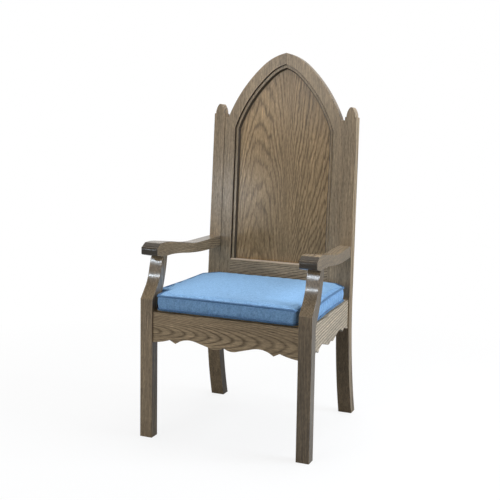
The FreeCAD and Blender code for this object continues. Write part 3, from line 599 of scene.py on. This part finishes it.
def seam_points(mesh):
    """The numbers of the points on the two seams, which run round the upright walls."""
    low_wall = LOW_SEAM + WALL_MARGIN
    top_wall = TOP_SEAM - WALL_MARGIN
    walls = [point.co for point in mesh.vertices if low_wall < point.co.z < top_wall]
    tree = KDTree(len(walls))
    for i, place in enumerate(walls):
        tree.insert((place.x, place.y, 0), i)
    tree.balance()
    found = []
    for point in mesh.vertices:
        level = min(abs(point.co.z - TOP_SEAM), abs(point.co.z - LOW_SEAM))
        if level < SEAM_REACH and tree.find((point.co.x, point.co.y, 0))[2] < SEAM_REACH:
            found.append(point.index)
    return found


def blown_up(mesh):
    """Let the foam's form swell as cloth that is sewn down along its seams."""
    draft = draft_object("cushion_draft", mesh)
    seams = draft.vertex_groups.new(name="seams")
    seams.add(seam_points(mesh), 1.0, "REPLACE")
    rest = [point.co.copy() for point in mesh.vertices]
    cloth = draft.modifiers.new("cloth", "CLOTH")
    settings = cloth.settings
    settings.quality = 4
    settings.mass = 0.3
    settings.tension_stiffness = 12.0
    settings.compression_stiffness = 12.0
    settings.shear_stiffness = 6.0
    settings.bending_stiffness = 1.2
    settings.use_pressure = True
    settings.uniform_pressure_force = 4.0
    settings.shrink_min = -0.025
    settings.vertex_group_mass = "seams"
    settings.effector_weights.gravity = 0.0
    cloth.point_cache.frame_start = 1
    cloth.point_cache.frame_end = CLOTH_FRAMES
    scene = bpy.context.scene
    for step in range(1, CLOTH_FRAMES + 1):
        scene.frame_set(step)
    swollen = applied(draft)
    bpy.data.objects.remove(draft)
    scene.frame_set(1)
    for point, start in zip(swollen.vertices, rest):
        move = point.co - start
        if move.length > SWELL_LIMIT:
            move *= SWELL_LIMIT / move.length
        point.co = start + move
        point.co.z = max(point.co.z, CUSHION_LOW + SEAT_CLEARANCE)
    return swollen


def smoothed(mesh):
    """Even out the small steps, divide the squares once more and shade them smoothly."""
    draft = draft_object("smooth_draft", mesh)
    relax = draft.modifiers.new("relax", "SMOOTH")
    relax.factor = 0.5
    relax.iterations = 1
    divide = draft.modifiers.new("divide", "SUBSURF")
    divide.levels = 1
    divide.render_levels = 1
    mesh = applied(draft)
    bpy.data.objects.remove(draft)
    shade_smooth(mesh)
    return mesh


cover_mesh = even_mesh("cushion_foam")
cover_mesh = blown_up(cover_mesh)
cover_mesh = smoothed(cover_mesh)
cover = new_piece("cushion_cover_sewn", cover_mesh, "cushion_cover", "cushion", cover_cloth)
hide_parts("cushion_foam")

# The welts are drawn towards the swollen cover, so that they don't stand away from its corners
sewn = BVHTree.FromPolygons([point.co for point in cover_mesh.vertices],
                            [polygon.vertices for polygon in cover_mesh.polygons])
for seam in ("top", "bottom"):
    welt = "cushion_" + seam + "_welt"
    welt_mesh = clean_copy(welt)
    for point in welt_mesh.vertices:
        nearest, normal, _, distance = sewn.find_nearest(point.co)
        if distance > WELT_RISE and (point.co - nearest).dot(normal) > 0:
            point.co = nearest + (point.co - nearest) * (WELT_RISE / distance)
    shade_smooth(welt_mesh)
    new_piece("cushion_" + seam + "_piping", welt_mesh, welt, "cushion", welt_cloth_painted_shade)

# Floor, light and camera

WHITE = (1.0, 1.0, 1.0, 1.0)
FLOOR_SIZE = 30.0

# The floor's tone for light that bounces, for the camera, and more for a mirror image
FLOOR_TONE = 0.15
FLOOR_TONE_SEEN = 0.90
FLOOR_TONE_MIRRORED = 0.25

# Distances between which the seen floor turns white, and how white it is near the chair
FLOOR_NEAR = 0.6
FLOOR_FAR = 1.8
NEAR_WHITE = 0.84

# Strength of the room and of the backdrop, and between which headings one turns into the other
ROOM_LIGHT = 0.07
BACKDROP_LIGHT = 0.75
ROOM_HEADING = -0.25
BACKDROP_HEADING = 0.45
BACKDROP_TINT = (0.97, 0.985, 1.0, 1.0)

WINDOW = (0.80, 0.90, 1.0)
SKY = (0.80, 0.89, 1.0)
LAMP = (1.0, 0.94, 0.86)
NEUTRAL = (1, 1, 1)


def floor_material():
    """A floor that is white to the camera and keeps the chair's shadow, but sends little light back up."""
    shader = Shader("pale_floor")
    path = shader.node("ShaderNodeLightPath")
    seen = path.outputs["Is Camera Ray"]
    tone = shader.math("ADD", shader.spread(seen, 0.0, 1.0, FLOOR_TONE, FLOOR_TONE_SEEN),
                       shader.math("MULTIPLY", path.outputs["Is Glossy Ray"], FLOOR_TONE_MIRRORED))
    matt = shader.node("ShaderNodeBsdfDiffuse")
    shader.feed(matt.inputs["Color"], shader.grey(tone))
    white = shader.node("ShaderNodeEmission")
    white.inputs["Color"].default_value = WHITE
    away = shader.node("ShaderNodeVectorMath", operation="LENGTH")
    shader.feed(away.inputs[0], shader.place)
    whiten = shader.spread(away.outputs["Value"], FLOOR_NEAR, FLOOR_FAR, NEAR_WHITE, 1.0)
    blend = shader.node("ShaderNodeMixShader")
    shader.feed(blend.inputs[0], shader.math("MULTIPLY", seen, whiten))
    shader.tree.links.new(matt.outputs[0], blend.inputs[1])
    shader.tree.links.new(white.outputs[0], blend.inputs[2])
    output = shader.node("ShaderNodeOutputMaterial")
    shader.tree.links.new(blend.outputs[0], output.inputs["Surface"])
    return shader.material


def make_floor():
    mesh = bpy.data.meshes.new("floor")
    form = bmesh.new()
    bmesh.ops.create_grid(form, x_segments=1, y_segments=1, size=FLOOR_SIZE)
    form.to_mesh(mesh)
    form.free()
    mesh.materials.append(floor_material())
    floor = bpy.data.objects.new("floor", mesh)
    bpy.context.scene.collection.objects.link(floor)


def make_world():
    """White to the camera. For light, a bright backdrop behind the chair and a dim room in front of it."""
    world = bpy.data.worlds.new("studio")
    bpy.context.scene.world = world
    world.use_nodes = True
    tree = world.node_tree
    tree.nodes.clear()
    path = tree.nodes.new("ShaderNodeLightPath")
    heading = tree.nodes.new("ShaderNodeTexCoord")
    parts = tree.nodes.new("ShaderNodeSeparateXYZ")
    tree.links.new(heading.outputs["Generated"], parts.inputs[0])
    backdrop = tree.nodes.new("ShaderNodeMapRange")
    backdrop.interpolation_type = "SMOOTHSTEP"
    for key, value in (("From Min", ROOM_HEADING), ("From Max", BACKDROP_HEADING),
                       ("To Min", ROOM_LIGHT), ("To Max", BACKDROP_LIGHT)):
        backdrop.inputs[key].default_value = value
    tree.links.new(parts.outputs["Y"], backdrop.inputs["Value"])
    soft = tree.nodes.new("ShaderNodeBackground")
    soft.inputs["Color"].default_value = BACKDROP_TINT
    tree.links.new(backdrop.outputs["Result"], soft.inputs["Strength"])
    white = tree.nodes.new("ShaderNodeBackground")
    white.inputs["Color"].default_value = WHITE
    blend = tree.nodes.new("ShaderNodeMixShader")
    tree.links.new(path.outputs["Is Camera Ray"], blend.inputs[0])
    tree.links.new(soft.outputs[0], blend.inputs[1])
    tree.links.new(white.outputs[0], blend.inputs[2])
    output = tree.nodes.new("ShaderNodeOutputWorld")
    tree.links.new(blend.outputs[0], output.inputs["Surface"])


def area_light(name, place, target, size, power, colour=NEUTRAL, spread=180.0, mirrored=True, lights=True):
    """A lamp that glossy faces show when it is mirrored, and that reaches matt ones when it lights."""
    data = bpy.data.lights.new(name, "AREA")
    data.shape = "RECTANGLE"
    data.size, data.size_y = size
    data.energy = power
    data.color = colour
    data.spread = math.radians(spread)
    light = bpy.data.objects.new(name, data)
    light.location = place
    light.visible_glossy = mirrored
    light.visible_diffuse = lights
    light.rotation_euler = (Vector(target) - Vector(place)).to_track_quat("-Z", "Y").to_euler()
    bpy.context.scene.collection.objects.link(light)


def make_lights():
    area_light("key_right", (2.5, 0.2, 1.6), target=(0, 0, 0.6), size=(1.2, 1.2), power=59.0, colour=SKY)
    area_light("overhead", (0.1, 0.1, 3.0), target=(0, 0, 0.5), size=(1.8, 1.8), power=44.0, mirrored=False)
    area_light("upper_fill", (-0.3, -1.7, 2.2), target=(0, 0.22, 1.15), size=(0.8, 0.8), power=1.1,
               spread=70.0, mirrored=False)
    area_light("low_fill", (-3.1, -2.95, 0.32), target=(0, 0, 0.9), size=(1.0, 1.0), power=28.0,
               colour=WINDOW, mirrored=False)
    area_light("window_left", (-1.60, -3.0, 0.80), target=(-0.2, 0.24, 0.81), size=(0.40, 0.32), power=6.5,
               colour=WINDOW)
    area_light("upper_window", (-1.25, -3.3, 1.60), target=(0.05, 0.26, 1.2), size=(0.6, 0.5), power=5.0)
    area_light("sky_strip", (-1.4, -3.3, 2.35), target=(-0.2, 0, 0.7), size=(2.4, 0.20), power=52.0,
               colour=WINDOW, lights=False)
    area_light("high_fill", (-1.4, -3.3, 1.72), target=(-0.2, 0, 0.7), size=(2.4, 0.14), power=18.5,
               colour=LAMP, mirrored=False)


def make_camera():
    """The photograph's viewpoint: turned, raised, rolled a little, and looking at a point in the chair."""
    turn = math.radians(22.63)
    rise = math.radians(6.96)
    roll = math.radians(0.91)
    distance = 3.47497
    aim = Vector((-0.02148, -0.0435, 0.80412))
    backward = Vector((math.sin(turn) * math.cos(rise), -math.cos(turn) * math.cos(rise), math.sin(rise)))
    level = Vector((math.cos(turn), math.sin(turn), 0))
    upright = backward.cross(level)
    across = math.cos(roll) * level + math.sin(roll) * upright
    upward = -math.sin(roll) * level + math.cos(roll) * upright
    data = bpy.data.cameras.new("camera")
    data.sensor_width = 36.0
    data.lens = 71.56
    data.shift_x = 0.0039
    data.shift_y = -0.0929
    camera = bpy.data.objects.new("camera", data)
    pose = Matrix((across, upward, backward)).transposed().to_4x4()
    pose.translation = aim + backward * distance
    camera.matrix_world = pose
    bpy.context.scene.collection.objects.link(camera)
    bpy.context.scene.camera = camera


make_floor()
make_world()
make_lights()
make_camera()
bpy.context.scene.view_settings.view_transform = "Standard"
